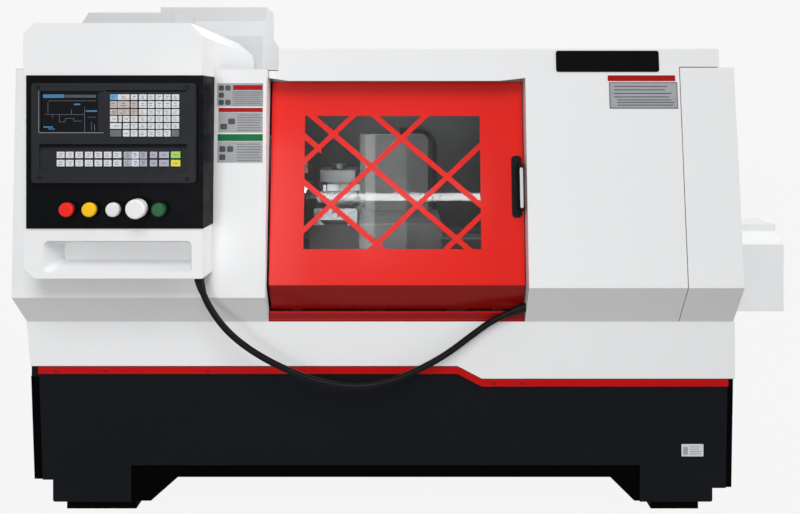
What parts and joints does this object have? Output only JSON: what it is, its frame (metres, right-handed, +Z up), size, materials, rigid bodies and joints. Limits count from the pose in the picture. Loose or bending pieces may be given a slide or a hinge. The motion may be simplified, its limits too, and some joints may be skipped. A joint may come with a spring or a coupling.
{
  "type": "cnc turning lathe",
  "caption": "Enclosed computer-controlled turning lathe with a sliding lattice-window door, control box, chuck, tool turret and tailstock on a cast stand.",
  "frame": {"origin": "on the floor, at the middle of the machine's length and depth", "axes": "+X along the machine towards its right end, +Y to its back, +Z up"},
  "size_m": [2.2054, 1.1, 1.487],
  "materials": {
    "body_paint": "semi gloss light grey paint",
    "hood_paint": "semi gloss light grey paint",
    "red_paint": "gloss red paint",
    "base_paint": "near-black textured paint",
    "fascia_black": "satin black",
    "frame_grey": "satin dark grey",
    "screen_black": "gloss",
    "key_grey": "satin",
    "window_glass": "clear",
    "casting": "painted casting",
    "bed_iron": "ground ways",
    "steel": "ground steel",
    "bright_steel": "bright",
    "cover_paint": "light grey paint",
    "roller": "nylon",
    "handle_black": "satin black",
    "handle_grey": "satin pale grey",
    "cable_black": "matte",
    "button_red": "gloss",
    "button_yellow": "gloss",
    "button_white": "gloss",
    "button_green": "gloss",
    "foot_iron": "rough"
  },
  "bodies": {
    "enclosure": {"base_casting": "base_paint", "base_front_cover": "base_paint", "foot_pads": "foot_iron", "stripe_trim": "red_paint", "chip_tray": "body_paint", "bed": "bed_iron", "headstock_casing": "casting", "screw_blocks": "casting", "motor_z": "handle_black", "left_guard": "body_paint", "left_end_guard": "body_paint", "headstock_cover": "hood_paint", "right_guard": "body_paint", "right_end_guard": "body_paint", "rear_guard": "body_paint", "top_hood": "hood_paint", "end_motor_cover": "body_paint", "door_bottom_rail": "steel", "door_sill": "red_paint", "door_top_rail": "steel", "control_box": "body_paint", "control_fascia": "fascia_black", "button_bezels": "frame_grey", "controller_frame": "frame_grey", "lcd_screen": "screen_black", "function_keys": "key_grey", "operation_keys": "key_grey", "top_junction_box": "body_paint", "electrical_cabinet": "hood_paint", "cable_glands": "handle_black", "control_cable": "cable_black"},
    "door": {"door_panel": "red_paint", "door_window": "window_glass", "handle_plate": "handle_black", "handle_grip": "handle_grey"},
    "roller_left": {"door_roller_left": "roller"},
    "roller_right": {"door_roller_right": "roller"},
    "spindle": {"spindle": "steel", "chuck_body": "steel"},
    "jaw_1": {"chuck_jaw_1": "bright_steel"},
    "jaw_2": {"chuck_jaw_2": "bright_steel"},
    "jaw_3": {"chuck_jaw_3": "bright_steel"},
    "carriage": {"saddle": "casting", "drive_cover": "cover_paint", "conduit": "cable_black"},
    "cross_slide": {"cross_slide": "steel", "turret_base": "casting"},
    "turret": {"turret_head": "steel", "tool_bits": "bright_steel"},
    "screw_x": {"screw_x": "bright_steel"},
    "screw_z": {"screw_z": "bright_steel"},
    "tailstock": {"tailstock_body": "casting"},
    "quill": {"quill": "bright_steel"},
    "handwheel": {"tail_handwheel": "bright_steel"},
    "button_red": {"button_red": "button_red"},
    "button_yellow": {"button_yellow": "button_yellow"},
    "button_white": {"button_white": "button_white"},
    "button_large": {"button_large": "button_white"},
    "button_green": {"button_green": "button_green"}
  },
  "joints": [
    {"name": "door_slide", "type": "slide", "parent": "enclosure", "child": "door", "axis": [-1, 0, 0], "range_m": [0, 0.6]},
    {"name": "roller_left_spin", "type": "hinge", "parent": "door", "child": "roller_left", "pos_m": [-0.34475, -0.351, 0.5653], "axis": [0, -1, 0], "range_deg": [-10, 2310]},
    {"name": "roller_right_spin", "type": "hinge", "parent": "door", "child": "roller_right", "pos_m": [0.21525, -0.351, 0.5653], "axis": [0, -1, 0], "range_deg": [-10, 2310]},
    {"name": "spindle_spin", "type": "hinge", "parent": "enclosure", "child": "spindle", "pos_m": [-1.09875, 0.02, 0.88], "axis": [1, 0, 0], "continuous": true},
    {"name": "jaw_1_slide", "type": "slide", "parent": "spindle", "child": "jaw_1", "axis": [0, 0, -1], "range_m": [0, 0.015]},
    {"name": "jaw_2_slide", "type": "slide", "parent": "spindle", "child": "jaw_2", "axis": [0, 0.866, 0.5], "range_m": [0, 0.015]},
    {"name": "jaw_3_slide", "type": "slide", "parent": "spindle", "child": "jaw_3", "axis": [0, -0.866, 0.5], "range_m": [0, 0.015]},
    {"name": "screw_z_spin", "type": "hinge", "parent": "enclosure", "child": "screw_z", "pos_m": [-0.43875, -0.14, 0.59], "axis": [1, 0, 0], "range_deg": [-10, 21010]},
    {"name": "carriage_slide", "type": "slide", "parent": "enclosure", "child": "carriage", "axis": [1, 0, 0], "range_m": [0, 0.35]},
    {"name": "screw_x_spin", "type": "hinge", "parent": "carriage", "child": "screw_x", "pos_m": [-0.24875, -0.2, 0.808], "axis": [0, 1, 0], "range_deg": [-3610, 7210]},
    {"name": "cross_slide_travel", "type": "slide", "parent": "carriage", "child": "cross_slide", "axis": [0, 1, 0], "range_m": [-0.04, 0.08]},
    {"name": "turret_index", "type": "hinge", "parent": "cross_slide", "child": "turret", "pos_m": [-0.24875, -0.105, 0.85], "axis": [0, 0, 1], "continuous": true},
    {"name": "tailstock_slide", "type": "slide", "parent": "enclosure", "child": "tailstock", "axis": [1, 0, 0], "range_m": [-0.03, 0.08]},
    {"name": "handwheel_spin", "type": "hinge", "parent": "tailstock", "child": "handwheel", "pos_m": [0.67525, 0.02, 0.88], "axis": [1, 0, 0], "range_deg": [0, 4310]},
    {"name": "quill_slide", "type": "slide", "parent": "tailstock", "child": "quill", "axis": [-1, 0, 0], "range_m": [0, 0.06]},
    {"name": "button_red_press", "type": "slide", "parent": "enclosure", "child": "button_red", "axis": [0, 1, 0], "range_m": [0, 0.005], "stiffness_N_per_m": 900},
    {"name": "button_yellow_press", "type": "slide", "parent": "enclosure", "child": "button_yellow", "axis": [0, 1, 0], "range_m": [0, 0.005], "stiffness_N_per_m": 900},
    {"name": "button_white_press", "type": "slide", "parent": "enclosure", "child": "button_white", "axis": [0, 1, 0], "range_m": [0, 0.005], "stiffness_N_per_m": 900},
    {"name": "button_large_press", "type": "slide", "parent": "enclosure", "child": "button_large", "axis": [0, 1, 0], "range_m": [0, 0.005], "stiffness_N_per_m": 900},
    {"name": "button_green_press", "type": "slide", "parent": "enclosure", "child": "button_green", "axis": [0, 1, 0], "range_m": [0, 0.005], "stiffness_N_per_m": 900}
  ],
  "couplings": [
    {"joint": "roller_left_spin", "follows": "door_slide", "rad_per_m": 66.667},
    {"joint": "roller_right_spin", "follows": "door_slide", "rad_per_m": 66.667},
    {"joint": "jaw_2_slide", "follows": "jaw_1_slide", "ratio": 1},
    {"joint": "jaw_3_slide", "follows": "jaw_1_slide", "ratio": 1},
    {"joint": "screw_z_spin", "follows": "carriage_slide", "rad_per_m": 1047.2},
    {"joint": "screw_x_spin", "follows": "cross_slide_travel", "rad_per_m": 1570.8},
    {"joint": "quill_slide", "follows": "handwheel_spin", "m_per_rad": 0.00079577}
  ]
}
